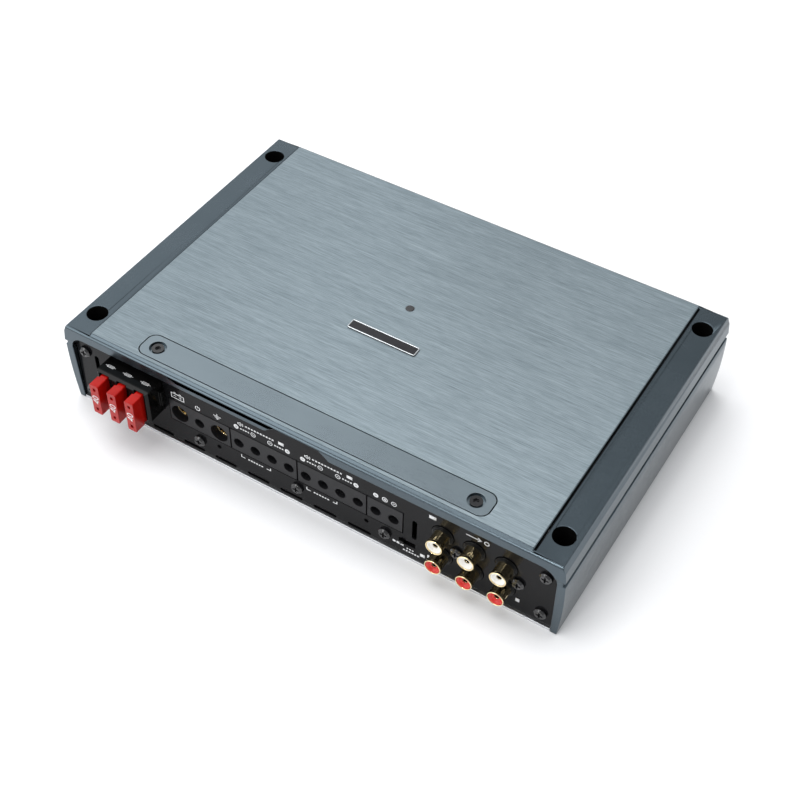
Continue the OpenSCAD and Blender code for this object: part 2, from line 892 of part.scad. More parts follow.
module speaker_b_terminal_block() {
    wire_terminal(row_x + group_w + block_gap / 2, row_x + 2 * group_w - block_gap / 2, 4, 7);
}

module subwoofer_terminal_block() {
    wire_terminal(row_x + 2 * group_w + block_gap / 2, sub_right(), 8, 9, 4.6);
}

module power_terminal_block() {
    color([0.13, 0.13, 0.14]) difference() {
        terminal_body(power_left, row_x - block_gap / 2);
        wire_cell_cut(remote_x);
        for (x = power_x) {
            rod_to_front(x, cage_y + cut, row_z, power_d, cage_y - block_front + 2 * cut);
            translate([x, clamp_y + 1, row_z])
                cylinder(h = block_top, d = clamp_screw_d + 0.8, $fn = small_fn);
            translate([x - power_cage_w / 2, cage_y, power_cage_foot])
                cube([power_cage_w, power_cage_l, power_cage_top - power_cage_foot]);
        }
    }
}

module power_clamp_cages() {
    color([0.83, 0.68, 0.32])
        for (x = power_x)
            difference() {
                translate([x - power_cage_w / 2, cage_y, power_cage_foot])
                    cube([power_cage_w, power_cage_l, power_cage_top - power_cage_foot]);
                rod_to_front(x, cage_y + power_cage_l - 1, row_z, power_cavity, power_cage_l);
                box_between([x - power_cavity / 2, cage_y - cut, row_z],
                    [x + power_cavity / 2, cage_y + power_cage_l - 1, row_z + power_cavity / 2]);
                translate([x, clamp_y + 1, row_z])
                    cylinder(h = block_top, d = clamp_screw_d + 2 * thread_gap, $fn = small_fn);
            }
}

module pressure_pad(x) {
    color([0.86, 0.72, 0.38])
        translate([x - power_cavity / 2 + 0.5, cage_y + 0.6, pad_top - pad_t])
            cube([power_cavity - 1, pad_l, pad_t]);
}

module clamp_screw(x) {
    color([0.80, 0.66, 0.34])
        translate([x, clamp_y + 1, pad_top + 0.05])
            difference() {
                cylinder(h = clamp_screw_l, d = clamp_screw_d, $fn = small_fn);
                translate([0, 0, clamp_screw_l - 2.5])
                    cylinder(h = hex_key, d = clamp_screw_d * 0.6, $fn = 6);
            }
}

module battery_pressure_pad() { pressure_pad(power_x[0]); }
module ground_pressure_pad() { pressure_pad(power_x[1]); }
module battery_clamp_screw() { clamp_screw(power_x[0]); }
module ground_clamp_screw() { clamp_screw(power_x[1]); }

function small_terminal_xs() = concat([remote_x], [for (i = [0:9]) speaker_x(i)]);

module wire_clamp_cages() {
    color([0.80, 0.78, 0.70])
        for (x = small_terminal_xs())
            wire_cage(x);
}

module wire_clamp_screws() {
    color([0.75, 0.75, 0.76])
        for (x = small_terminal_xs())
            translate([x, clamp_y, row_z + cage_bore / 2 - 0.6])
                difference() {
                    union() {
                        cylinder(h = wire_screw_l, d = m3_d - 2 * m3_clear, $fn = small_fn);
                        translate([0, 0, cage_h / 2 - cage_bore / 2 + 0.7])
                            cylinder(h = wire_screw_head_h, d = wire_screw_head_d, $fn = small_fn);
                    }
                    translate([-wire_screw_head_d, -wire_screw_slot / 2, wire_screw_l - 1])
                        cube([2 * wire_screw_head_d, wire_screw_slot, wire_screw_head_h]);
                }
}

module at_jacks(rows) {
    for (i = [-1, 0, 1], j = rows)
        translate([jack_x + i * jack_pitch_x, 0, jack_top_z - j * jack_pitch_z])
            children();
}

module rca_housing() {
    color([0.08, 0.08, 0.09]) difference() {
        union() {
            box_between([jack_x - housing_w / 2, panel_back + 0.1, board_top],
                [jack_x + housing_w / 2, panel_back + housing_d, jack_top_z + collar_d / 2 + 1.4]);
            at_jacks([0, 1])
                for (step = [0:2])
                    rod_to_front(0, panel_back + 1, 0, collar_d - step * collar_step,
                        panel_t + 1 + collar_out * (step + 1) / 3);
        }
        at_jacks([0, 1])
            rod_to_front(0, panel_y + jack_depth - 2, 0, jack_root_d, jack_depth + collar_out);
        for (p = jack_screw_at)
            rod_to_front(p[0], panel_back + panel_screw_l, p[1], m3_d, panel_screw_l + cut, small_fn);
    }
}

module rca_shells() {
    color([0.85, 0.68, 0.30])
        at_jacks([0, 1])
            difference() {
                union() {
                    rod_to_front(0, panel_y - collar_out, 0, jack_d, jack_out - collar_out);
                    rod_to_front(0, panel_y + jack_depth - 2, 0, jack_root_d, jack_depth - 2 + collar_out);
                }
                rod_to_front(0, panel_y + jack_depth - 3, 0, jack_bore_d, jack_depth + jack_out);
            }
}

module rca_insert() {
    difference() {
        rod_to_front(0, panel_y + jack_depth - 3, 0, jack_bore_d, jack_depth - 3.4 + jack_out);
        rod_to_front(0, panel_y + jack_depth - 2, 0, contact_d, jack_depth + jack_out);
    }
}

module rca_white_inserts() {
    color([0.93, 0.92, 0.88])
        at_jacks([0])
            rca_insert();
}

module rca_red_inserts() {
    color([0.80, 0.08, 0.06])
        at_jacks([1])
            rca_insert();
}

module rca_contacts() {
    color([0.85, 0.68, 0.30])
        at_jacks([0, 1])
            difference() {
                rod_to_front(0, panel_y + jack_depth - 3, 0, contact_d, jack_depth - 5 + jack_out, small_fn);
                rod_to_front(0, panel_y + jack_depth - 5, 0, contact_d - 2 * contact_t,
                    jack_depth + jack_out, small_fn);
            }
}

module selector_body() {
    color([0.15, 0.15, 0.16]) difference() {
        box_between([selector_x - selector_case_w / 2, panel_back + 0.1, selector_z - selector_case_h / 2],
            [selector_x + selector_case_w / 2, board_front - 0.1, selector_z + selector_case_h / 2]);
        box_between([selector_x - selector_slot / 2, panel_back - cut, selector_z - selector_slot_h / 2],
            [selector_x + selector_slot / 2, panel_back + 4, selector_z + selector_slot_h / 2]);
    }
}

module selector_knob() {
    color([0.85, 0.85, 0.84])
        translate([selector_x + selector_rest, 0, selector_z])
            box_between([-selector_lever_w / 2, panel_y - selector_lever_out, -selector_lever_h / 2],
                [selector_lever_w / 2, panel_back + 3.6, selector_lever_h / 2]);
}

module control_board() {
    color([0.10, 0.32, 0.18]) difference() {
        box_between([-control_half, control_front, control_z], [control_half, control_rear, control_top]);
        for (x = control_screw_x)
            translate([x, control_screw_y, control_z - cut])
                cylinder(h = control_t + 2 * cut, d = m3_d, $fn = small_fn);
        for (x = power_x)
            translate([x, clamp_y + 1, control_z - cut])
                cylinder(h = control_t + 2 * cut, d = clamp_screw_d + 1, $fn = small_fn);
    }
}

module trimmer_bodies() {
    color([0.16, 0.25, 0.45])
        for (x = concat(gain_x, filter_x))
            translate([x, control_y, control_top])
                difference() {
                    translate([0, 0, trimmer_h / 2])
                        cube([trimmer_w, trimmer_w, trimmer_h], center = true);
                    translate([0, 0, 1.5])
                        cylinder(h = trimmer_h, d = knob_stem_d + 0.1, $fn = small_fn);
                }
}

// Screwdriver-set knob on a stem
module trimmer_knob(x) {
    color([0.90, 0.90, 0.86])
        translate([x, control_y, control_top + trimmer_h])
            difference() {
                union() {
                    translate([0, 0, knob_gap])
                        cylinder(h = knob_h, d = knob_d, $fn = small_fn);
                    translate([0, 0, -2.5])
                        cylinder(h = 3, d = knob_stem_d, $fn = small_fn);
                }
                translate([-knob_slot_w / 2, 0, knob_gap + knob_h - knob_slot_h])
                    cube([knob_slot_w, knob_d, knob_slot_h + cut]);
                translate([0, 0, knob_gap + knob_h - knob_slot_h])
                    cylinder(h = knob_slot_h + cut, d = knob_eye_d, $fn = small_fn);
            }
}

module gain_knob_a() { trimmer_knob(gain_x[0]); }
module gain_knob_b() { trimmer_knob(gain_x[1]); }
module gain_knob_sub() { trimmer_knob(gain_x[2]); }
module filter_knob_a() { trimmer_knob(filter_x[0]); }
module filter_knob_b() { trimmer_knob(filter_x[1]); }
module filter_knob_sub() { trimmer_knob(filter_x[2]); }

module filter_switch_bodies() {
    color([0.14, 0.14, 0.15])
        for (x = switch_x)
            translate([x, control_y, control_top])
                difference() {
                    translate([0, 0, switch_h / 2])
                        cube([switch_w, switch_d, switch_h], center = true);
                    translate([0, 0, switch_h])
                        cube([switch_travel + switch_lever + 0.8, switch_lever + 0.2, 4], center = true);
                }
}

module switch_lever(x) {
    color([0.92, 0.92, 0.90])
        translate([x - (switch_travel + switch_lever) / 2, control_y - switch_lever / 2,
                control_top + switch_lever_z])
            cube([switch_lever, switch_lever, switch_lever_h]);
}

module filter_switch_a() { switch_lever(switch_x[0]); }
module filter_switch_sub() { switch_lever(switch_x[1]); }

module main_board() {
    color([0.08, 0.30, 0.16]) difference() {
        box_between([-board_half_x, board_front, board_z], [board_half_x, board_rear, board_top]);
        for (x = [-1, 1], y = spacer_y)
            translate([x * spacer_x, y, board_z - cut])
                cylinder(h = board_t + 2 * cut, d = m3_d, $fn = small_fn);
    }
}

module board_spacers() {
    color([0.78, 0.70, 0.45])
        for (x = [-1, 1], y = spacer_y)
            translate([x * spacer_x, y, base_t])
                difference() {
                    cylinder(h = board_z - base_t, d = spacer_d, $fn = small_fn);
                    translate([0, 0, -cut])
                        cylinder(h = board_z, d = m3_d, $fn = small_fn);
                }
}

function clamp_screw_xs() = [for (i = [0:3]) (i - 1.5) * 4 * transistor_pitch];

module board_screws() {
    color([0.78, 0.79, 0.80]) {
        for (x = [-1, 1], y = spacer_y)
            translate([x * spacer_x, y, board_top])
                pan_screw(board_screw_l);
        for (x = control_screw_x)
            translate([x, control_screw_y, control_z])
                mirror([0, 0, 1])
                    pan_screw(control_screw_l);
        for (x = clamp_screw_xs())
            translate([x, web_y - transistor[1] - clamp_bar[1], clamp_bar_z])
                rotate([90, 0, 0])
                    pan_screw(clamp_bar_screw_l);
    }
}

module transformer_core() {
    color([0.30, 0.32, 0.30])
        translate([toroid_x, toroid_y, toroid_base])
            difference() {
                cylinder(h = toroid_core_h, r = toroid_r + toroid_core_w / 2, $fn = round_fn);
                translate([0, 0, -cut])
                    cylinder(h = toroid_core_h + 2 * cut, r = toroid_r - toroid_core_w / 2, $fn = round_fn);
            }
}

module transformer_winding() {
    color([0.72, 0.38, 0.16])
        translate([toroid_x, toroid_y, toroid_base + toroid_core_h / 2])
            for (i = [0:toroid_turns - 1])
                rotate([90, 0, i * 360 / toroid_turns])
                    translate([toroid_r, 0, -toroid_wire / 2])
                        linear_extrude(height = toroid_wire)
                            difference() {
                                square([toroid_core_w + 2 * toroid_wire + 0.4,
                                    toroid_core_h + 2 * toroid_wire + 0.2], center = true);
                                square([toroid_core_w + 0.4, toroid_core_h + 0.2], center = true);
                            }
}

module bulk_capacitors() {
    color([0.10, 0.12, 0.22])
        for (x = cap_x, y = cap_y)
            translate([x, y, board_top])
                difference() {
                    cylinder(h = cap_h, d = cap_d, $fn = round_fn);
                    translate([0, 0, cap_h - 0.4])
                        cylinder(h = cut, d = cap_d - 3, $fn = round_fn);
                }
}

module output_inductors() {
    color([0.22, 0.22, 0.24])
        for (x = choke_x)
            translate([x, choke_y, board_top])
                rotate_extrude($fn = round_fn)
                    polygon([[0, 0], [choke_d / 2, 0], [choke_d / 2, 2.5], [choke_d / 2 - 2, 3.5],
                        [choke_d / 2 - 2, choke_h - 3.5], [choke_d / 2, choke_h - 2.5],
                        [choke_d / 2, choke_h], [0, choke_h]]);
}

module power_transistors() {
    color([0.09, 0.09, 0.10])
        for (i = [0:transistor_n - 1])
            translate([(i - (transistor_n - 1) / 2) * transistor_pitch, web_y - transistor[1], 0]) {
                translate([-transistor[0] / 2, 0, transistor_z])
                    cube(transistor);
                for (leg = [-1, 0, 1])
                    translate([leg * 2.54 - 0.4, 2, board_top])
                        cube([0.8, 0.6, transistor_z - board_top + 0.1]);
            }
}

module transistor_clamp() {
    color([0.62, 0.64, 0.66]) difference() {
        translate([-web_half, web_y - transistor[1] - clamp_bar[1], clamp_bar_z - clamp_bar[2] / 2])
            cube(clamp_bar);
        for (x = clamp_screw_xs())
            rod_to_front(x, web_y, clamp_bar_z, m3_d, clamp_bar_screw_l, small_fn);
    }
}

top_frame();
top_plate();
access_cover();
access_cover_screws();
left_cheek();
right_cheek();
base_plate();
base_screws();
front_panel();
rear_panel();
panel_screws();
badge_plate();
indicator_lens();
fuse_holder();
fuse_clips();
fuse_1();
fuse_2();
fuse_3();
fuse_1_blades();
fuse_2_blades();
fuse_3_blades();
power_terminal_block();
speaker_a_terminal_block();
speaker_b_terminal_block();
subwoofer_terminal_block();
power_clamp_cages();
battery_pressure_pad();
ground_pressure_pad();
battery_clamp_screw();
ground_clamp_screw();
wire_clamp_cages();
wire_clamp_screws();
rca_housing();
rca_shells();
rca_white_inserts();
rca_red_inserts();
rca_contacts();
selector_body();
selector_knob();
control_board();
trimmer_bodies();
gain_knob_a();
gain_knob_b();
gain_knob_sub();
filter_knob_a();
filter_knob_b();
filter_knob_sub();
filter_switch_bodies();
filter_switch_a();
filter_switch_sub();
main_board();
board_spacers();
board_screws();
transformer_core();
transformer_winding();
bulk_capacitors();
output_inductors();
power_transistors();
transistor_clamp();
indicator_led();
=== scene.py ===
# %% [markdown]
# # A car amplifier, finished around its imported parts
#
# The amplifier is a low metal box: a cast frame around a brushed plate, a black connector
# panel with fuses, wire terminals and phono jacks, and a small control bay under a cover.
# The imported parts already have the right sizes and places. This lesson gives them rounded
# edges and real finishes, and adds the small things that only a picture needs, such as the
# turned jacks and the white print.

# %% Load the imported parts
import json

import bmesh
import bpy
import numpy as np
from mathutils import Matrix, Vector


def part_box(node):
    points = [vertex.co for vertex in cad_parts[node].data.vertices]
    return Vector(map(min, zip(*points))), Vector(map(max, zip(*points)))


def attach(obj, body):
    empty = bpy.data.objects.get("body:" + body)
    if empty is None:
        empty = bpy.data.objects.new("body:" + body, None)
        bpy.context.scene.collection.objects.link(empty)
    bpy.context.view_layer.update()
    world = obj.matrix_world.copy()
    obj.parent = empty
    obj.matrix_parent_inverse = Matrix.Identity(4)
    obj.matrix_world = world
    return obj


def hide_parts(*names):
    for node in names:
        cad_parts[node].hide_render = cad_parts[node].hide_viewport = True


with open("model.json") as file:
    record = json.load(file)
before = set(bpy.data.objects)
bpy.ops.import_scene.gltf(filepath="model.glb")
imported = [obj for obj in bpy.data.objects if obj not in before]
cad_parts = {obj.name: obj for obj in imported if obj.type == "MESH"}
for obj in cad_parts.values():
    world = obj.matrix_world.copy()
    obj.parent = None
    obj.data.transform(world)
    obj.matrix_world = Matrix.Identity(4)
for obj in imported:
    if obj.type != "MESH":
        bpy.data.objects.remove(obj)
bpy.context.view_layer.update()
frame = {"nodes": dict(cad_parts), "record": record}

record = frame["record"]

# %% [markdown]
# ## Where things are
#
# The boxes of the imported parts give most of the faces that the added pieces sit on. The wells,
# the floors of the gap and the grooves, and the places of the print are given in millimetres.
# Lengths are otherwise in metres, and `mm` turns millimetres into metres.

# %% Measures
mm = 0.001
body_of = {n: b for b, ns in record["behaviour"]["bodies"].items() for n in ns}
slot_of = {s["node"]: s["material_slot"] for s in record["subparts"]}


def box(node):
    """Lowest and highest corner of a part, as two arrays."""
    low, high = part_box(node)
    return np.array(low), np.array(high)


plate_low, plate_high = box("top_plate")
panel_low, panel_high = box("front_panel")
panel_front = panel_low[1]
print("plate top", round(plate_high[2] / mm, 2), "panel front", round(panel_front / mm, 2))

# %% [markdown]
# ## The camera
#
# The amplifier is seen from above its connector side, turned so that the jacks come nearest.
# A camera could be aimed with a Track To constraint. Here its three axes are worked out from an
# azimuth, an elevation and a small roll, because that says the viewing angle in plain numbers.

# %% Camera
azimuth, elevation, roll = np.radians([30.079, 46.807, 1.838])
distance = 0.6571
aim_above = 0.050
aim_right, aim_up = 0.00105, -0.03797
lens_mm, sensor_mm = 61.42, 36.0

back = np.array([np.sin(azimuth) * np.cos(elevation),
                 -np.cos(azimuth) * np.cos(elevation), np.sin(elevation)])
right = np.array([np.cos(azimuth), np.sin(azimuth), 0.0])
up = np.cross(back, right)
aim = np.array([0, 0, aim_above]) + right * aim_right + up * aim_up
camera_x = np.cos(roll) * right + np.sin(roll) * up
camera_y = np.cos(roll) * up - np.sin(roll) * right

camera_data = bpy.data.cameras.new("camera")
camera_data.lens = lens_mm
camera_data.sensor_width = sensor_mm
camera = bpy.data.objects.new("camera", camera_data)
bpy.context.scene.collection.objects.link(camera)
pose = np.eye(4)
pose[:3, 0], pose[:3, 1], pose[:3, 2] = camera_x, camera_y, back
pose[:3, 3] = aim + back * distance
camera.matrix_world = Matrix(pose.tolist())
bpy.context.scene.camera = camera
print("camera at", np.round(pose[:3, 3], 4))

# %% [markdown]
# ## Surfaces from arrays
#
# A grid of points is a surface with two parameters. One helper turns such a grid into a mesh,
# and can join its last row or column to the first. Others carry a profile round an axis, as a
# lathe does, or a flat line along a path, as a pen does.

# %% Grid, lathe and pen
def grid_faces(rows, columns, wrap_rows=False, wrap_columns=False):
    """Quads of a rows x columns grid: each joins a point to its right, diagonal and lower one."""
    i = np.arange(rows if wrap_rows else rows - 1)[:, None]
    j = np.arange(columns if wrap_columns else columns - 1)[None, :]
    i2, j2 = (i + 1) % rows, (j + 1) % columns
    quads = [i * columns + j, i * columns + j2, i2 * columns + j2, i2 * columns + j]
    return np.stack(quads, -1).reshape(-1, 4)


def lathe(profile, sides=64):
    """Turned shape: point k of the profile (distance out, radius) goes round the axis in equal
    angles, x = radius * cos(angle), z = radius * sin(angle), y = -out. The profile is a closed
    loop, so the shape is a closed ring."""
    out, radius = np.asarray(profile, float).T
    angle = np.linspace(0, 2 * np.pi, sides, endpoint=False)
    points = np.stack([np.outer(np.cos(angle), radius),
                       -np.outer(np.ones(sides), out),
                       np.outer(np.sin(angle), radius)], -1)
    return points.reshape(-1, 3), grid_faces(sides, len(out), True, True)


least_cosine = 0.4


def pen(path, width, closed=False):
    """Flat line: each path point moves half a width to both sides along the mitre of its two
    neighbours, offset = normal * width / 2 / cos(half the turn). The cosine counts as no less
    than least_cosine, so a sharp turn has no long spike."""
    path = np.asarray(path, float)
    ahead, behind = np.roll(path, -1, 0) - path, path - np.roll(path, 1, 0)
    if not closed:
        ahead[-1], behind[0] = behind[-1], ahead[0]
    ahead /= np.linalg.norm(ahead, axis=1, keepdims=True)
    behind /= np.linalg.norm(behind, axis=1, keepdims=True)
    mean = ahead + behind
    mean /= np.linalg.norm(mean, axis=1, keepdims=True)
    half = width / 2 / np.clip((mean * ahead).sum(1, keepdims=True), least_cosine, 1)
    side = np.stack([-mean[:, 1], mean[:, 0]], 1) * half
    points = np.stack([path - side, path + side], 1).reshape(-1, 2)
    return points, grid_faces(len(path), 2, closed, False)


def joined(parts):
    """Several (points, faces) in one: the faces of each start counting after the one before."""
    starts = np.cumsum([0] + [len(p) for p, _ in parts[:-1]])
    return (np.concatenate([p for p, _ in parts]),
            np.concatenate([f + s for (_, f), s in zip(parts, starts)]))


print("pen test", pen([[0, 0], [1, 0], [1, 1]], 0.1)[0].shape)


# %% Make a piece
def add_piece(name, mesh, body, finish=None):
    """Links a mesh as an object at the origin, rides it on a body and gives it a finish."""
    piece = bpy.data.objects.new(name, mesh)
    bpy.context.scene.collection.objects.link(piece)
    if finish:
        mesh.materials.clear()
        mesh.materials.append(finish)
    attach(piece, body)
    return piece


def surface(name, points, faces, smooth_angle=40):
    """Mesh of the points and faces, turned outwards and smooth up to an angle in degrees."""
    mesh = bpy.data.meshes.new(name)
    mesh.from_pydata(points.tolist(), [], faces.tolist())
    shell = bmesh.new()
    shell.from_mesh(mesh)
    bmesh.ops.remove_doubles(shell, verts=shell.verts, dist=1e-7)
    bmesh.ops.recalc_face_normals(shell, faces=shell.faces)
    shell.to_mesh(mesh)
    shell.free()
    mesh.shade_smooth()
    mesh.set_sharp_from_angle(angle=np.radians(smooth_angle))
    return mesh


# %% [markdown]
# ## Finishes
#
# Each finish is a node material: noise over the part's own coordinates shifts its colour, its
# roughness and a fine relief. Painted images would also do, but noise has no seams, holds its
# scale in millimetres on every part, and needs no unwrapping.

# %% Noise helpers
def blank_finish(name, metal, rough, **sockets):
    """New material; returns it with its tree and its shader, sockets set by name."""
    material = bpy.data.materials.new(name)
    material.use_nodes = True
    tree = material.node_tree
    shader = tree.nodes["Principled BSDF"]
    shader.inputs["Metallic"].default_value = metal
    shader.inputs["Roughness"].default_value = rough
    for socket, value in sockets.items():
        shader.inputs[socket.replace("_", " ")].default_value = value
    return material, tree, shader


def noise(tree, cells, detail=2.0):
    """Noise whose cells have these sizes in millimetres along X, Y and Z."""
    place = tree.nodes.new("ShaderNodeTexCoord")
    mapping = tree.nodes.new("ShaderNodeMapping")
    mapping.inputs["Scale"].default_value = [1 / (c * mm) for c in cells]
    cloud = tree.nodes.new("ShaderNodeTexNoise")
    cloud.inputs["Scale"].default_value = 1.0
    cloud.inputs["Detail"].default_value = detail
    tree.links.new(place.outputs["Object"], mapping.inputs["Vector"])
    tree.links.new(mapping.outputs["Vector"], cloud.inputs["Vector"])
    return cloud.outputs["Fac"]


def between(tree, factor, low, high, start=0.3, end=0.7):
    """Number that goes from low to high as the factor goes from start to end."""
    node = tree.nodes.new("ShaderNodeMapRange")
    for socket, value in (("From Min", start), ("From Max", end), ("To Min", low), ("To Max", high)):
        node.inputs[socket].default_value = value
    tree.links.new(factor, node.inputs["Value"])
    return node.outputs["Result"]


def tint(tree, factor, dark, light, start=0.3, end=0.7):
    """Colour that goes from dark to light as the factor goes from start to end."""
    ramp = tree.nodes.new("ShaderNodeValToRGB")
    ramp.color_ramp.elements[0].position = start
    ramp.color_ramp.elements[1].position = end
    ramp.color_ramp.elements[0].color = (*dark, 1)
    ramp.color_ramp.elements[1].color = (*light, 1)
    tree.links.new(factor, ramp.inputs["Fac"])
    return ramp.outputs["Color"]


def relief(tree, shader, factor, depth_mm, strength=1.0):
    """Bump of the factor, as deep as depth_mm."""
    bump = tree.nodes.new("ShaderNodeBump")
    bump.inputs["Strength"].default_value = strength
    bump.inputs["Distance"].default_value = depth_mm * mm
    tree.links.new(factor, bump.inputs["Height"])
    tree.links.new(bump.outputs["Normal"], shader.inputs["Normal"])


def mixed(tree, a, b, share):
    """a * (1 - share) + b * share, for two numbers."""
    node = tree.nodes.new("ShaderNodeMix")
    node.data_type = "FLOAT"
    node.inputs["Factor"].default_value = share
    tree.links.new(a, node.inputs["A"])
    tree.links.new(b, node.inputs["B"])
    return node.outputs["Result"]


def grained(name, dark, light, metal=0.0, rough=(0.4, 0.5), cells=(6, 6, 6), grain=(0.3, 0.3, 0.3),
            depth_mm=0.004, **sockets):
    """Everyday finish: slow noise for colour and roughness, fine noise for relief."""
    material, tree, shader = blank_finish(name, metal, rough[0], **sockets)
    slow = noise(tree, cells, 4)
    fine = noise(tree, grain, 2)
    both = mixed(tree, slow, fine, 0.35)
    tree.links.new(tint(tree, both, dark, light), shader.inputs["Base Color"])
    tree.links.new(between(tree, both, *rough), shader.inputs["Roughness"])
    relief(tree, shader, fine, depth_mm)
    return material


print("noise helpers ready")

# %% [markdown]
# ## Brushed plate
#
# The top plate is aluminium, brushed along its length and then dyed blue-grey. A brush leaves
# scratches of many lengths, so two stretched noises are mixed: long fine lines, and shorter
# broken ones. The same streaks move the colour, the roughness and the relief, as real ones do,
# and a slow cloud shifts the colour a little more.

# %% Brushed finish
def brushed(name, dark, light, metal=1.0, rough=(0.32, 0.40)):
    """Streaks along X: noise cells many millimetres long and a fraction of one wide."""
    material, tree, shader = blank_finish(name, metal, rough[0], Anisotropic=0.85,
                                          Anisotropic_Rotation=0.25)
    long_lines = noise(tree, (18, 0.26, 20), 4)
    short_lines = noise(tree, (5.5, 0.16, 20), 3)
    cloud = noise(tree, (40, 5, 60), 3)
    lines = mixed(tree, long_lines, short_lines, 0.48)
    shade = mixed(tree, lines, cloud, 0.10)
    tree.links.new(tint(tree, shade, dark, light, 0.36, 0.64), shader.inputs["Base Color"])
    tree.links.new(between(tree, lines, *rough), shader.inputs["Roughness"])
    relief(tree, shader, lines, 0.012, 0.6)
    tangent = tree.nodes.new("ShaderNodeTangent")
    tangent.direction_type = "UV_MAP"
    tangent.uv_map = "flat"
    tree.links.new(tangent.outputs["Tangent"], shader.inputs["Tangent"])
    return material


finishes = {}
finishes["brushed_plate"] = brushed("brushed_plate", (0.152, 0.192, 0.214), (0.300, 0.358, 0.390))
print("brushed finish ready")

# %% [markdown]
# ## Satin castings, paint and metals
#
# The castings and the cover are smooth satin metal in the same dye. The connector panel is
# powder coated, which leaves a slight orange-peel relief. Screws, blades and contacts are plain
# or plated metals. Each has a little variation, because an even colour looks like plastic.

# %% Metal and paint finishes
finishes["satin_frame"] = grained(
    "satin_frame", (0.080, 0.103, 0.119), (0.094, 0.119, 0.137), 1.0, (0.24, 0.30),
    (30, 30, 30), (0.12, 0.12, 0.12), 0.002)
finishes["satin_cover"] = grained(
    "satin_cover", (0.196, 0.238, 0.264), (0.228, 0.276, 0.304), 1.0, (0.26, 0.32),
    (40, 20, 20), (0.12, 0.12, 0.12), 0.002)
finishes["base_metal"] = grained(
    "base_metal", (0.62, 0.63, 0.65), (0.78, 0.79, 0.80), 1.0, (0.28, 0.40),
    (18, 2, 18), (0.2, 0.2, 0.2), 0.003)
finishes["panel_black"] = grained(
    "panel_black", (0.004, 0.004, 0.0045), (0.007, 0.007, 0.008), 0.0, (0.16, 0.22),
    (12, 12, 12), (0.5, 0.5, 0.5), 0.002, Specular_IOR_Level=0.11)
finishes["black_screw"] = grained(
    "black_screw", (0.003, 0.003, 0.004), (0.007, 0.007, 0.008), 0.0, (0.05, 0.09),
    (1.2, 1.2, 1.2), (0.15, 0.15, 0.15), 0.002, Specular_IOR_Level=0.8)
finishes["zinc_screw"] = grained(
    "zinc_screw", (0.52, 0.53, 0.54), (0.70, 0.71, 0.72), 1.0, (0.22, 0.34),
    (1.0, 1.0, 1.0), (0.15, 0.15, 0.15), 0.004)
finishes["tin_blade"] = grained(
    "tin_blade", (0.62, 0.62, 0.60), (0.78, 0.78, 0.76), 1.0, (0.16, 0.28),
    (1.5, 1.5, 0.4), (0.1, 0.1, 0.1), 0.002)
finishes["gold_plate"] = grained(
    "gold_plate", (0.86, 0.68, 0.36), (0.98, 0.85, 0.56), 1.0, (0.05, 0.09),
    (1.5, 1.5, 1.5), (0.1, 0.1, 0.1), 0.0005)
finishes["brass_spacer"] = grained(
    "brass_spacer", (0.58, 0.42, 0.16), (0.74, 0.57, 0.27), 1.0, (0.22, 0.34),
    (1.5, 1.5, 0.2), (0.1, 0.1, 0.1), 0.003)
finishes["clamp_steel"] = grained(
    "clamp_steel", (0.42, 0.43, 0.45), (0.60, 0.61, 0.63), 1.0, (0.28, 0.40),
    (14, 0.8, 2), (0.1, 0.1, 0.1), 0.004)
finishes["badge_finish"] = grained(
    "badge_finish", (0.010, 0.010, 0.012), (0.020, 0.020, 0.024), 0.3, (0.20, 0.28),
    (3, 3, 3), (0.1, 0.1, 0.1), 0.001)
print("finishes so far", len(finishes))

# %% [markdown]
# ## Mouldings and electrical parts
#
# Moulded parts are matt where the tool was sparked and glossy where it was polished. The fuses
# are a red plastic with some gloss. The parts inside the box have finishes of their own: solder
# mask, ferrite, enamelled wire. The controls among them show when the cover is lifted.

# %% Plastic and electrical finishes
finishes["black_plastic"] = grained(
    "black_plastic", (0.002, 0.002, 0.002), (0.004, 0.004, 0.004), 0.0, (0.10, 0.16),
    (4, 4, 4), (0.25, 0.25, 0.25), 0.001, Specular_IOR_Level=0.16)
finishes["terminal_plastic"] = grained(
    "terminal_plastic", (0.009, 0.009, 0.010), (0.015, 0.015, 0.017), 0.0, (0.28, 0.36),
    (5, 5, 5), (0.22, 0.22, 0.22), 0.005, Specular_IOR_Level=0.22)
finishes["fuse_red"] = grained(
    "fuse_red", (0.30, 0.003, 0.002), (0.42, 0.007, 0.003), 0.0, (0.12, 0.18),
    (5, 5, 5), (0.4, 0.4, 0.4), 0.002, Specular_IOR_Level=0.25)
finishes["insert_white"] = grained(
    "insert_white", (0.80, 0.78, 0.72), (0.88, 0.86, 0.81), 0.0, (0.25, 0.34),
    (2, 2, 2), (0.2, 0.2, 0.2), 0.003)
finishes["insert_red"] = grained(
    "insert_red", (0.54, 0.012, 0.006), (0.66, 0.022, 0.012), 0.0, (0.20, 0.28),
    (2, 2, 2), (0.2, 0.2, 0.2), 0.003)
finishes["knob_ivory"] = grained(
    "knob_ivory", (0.70, 0.68, 0.62), (0.82, 0.80, 0.75), 0.0, (0.35, 0.45),
    (2, 2, 2), (0.15, 0.15, 0.15), 0.004)
finishes["trimmer_blue"] = grained(
    "trimmer_blue", (0.010, 0.040, 0.180), (0.020, 0.070, 0.260), 0.0, (0.30, 0.42),
    (3, 3, 3), (0.2, 0.2, 0.2), 0.006)
finishes["indicator_clear"] = grained(
    "indicator_clear", (0.008, 0.008, 0.010), (0.016, 0.016, 0.018), 0.0, (0.05, 0.10),
    (2, 2, 2), (0.4, 0.4, 0.4), 0.001, Coat_Weight=0.6)
finishes["led_body"] = grained(
    "led_body", (0.52, 0.040, 0.020), (0.70, 0.080, 0.040), 0.0, (0.20, 0.30),
    (1, 1, 1), (0.2, 0.2, 0.2), 0.002, Subsurface_Weight=0.3)
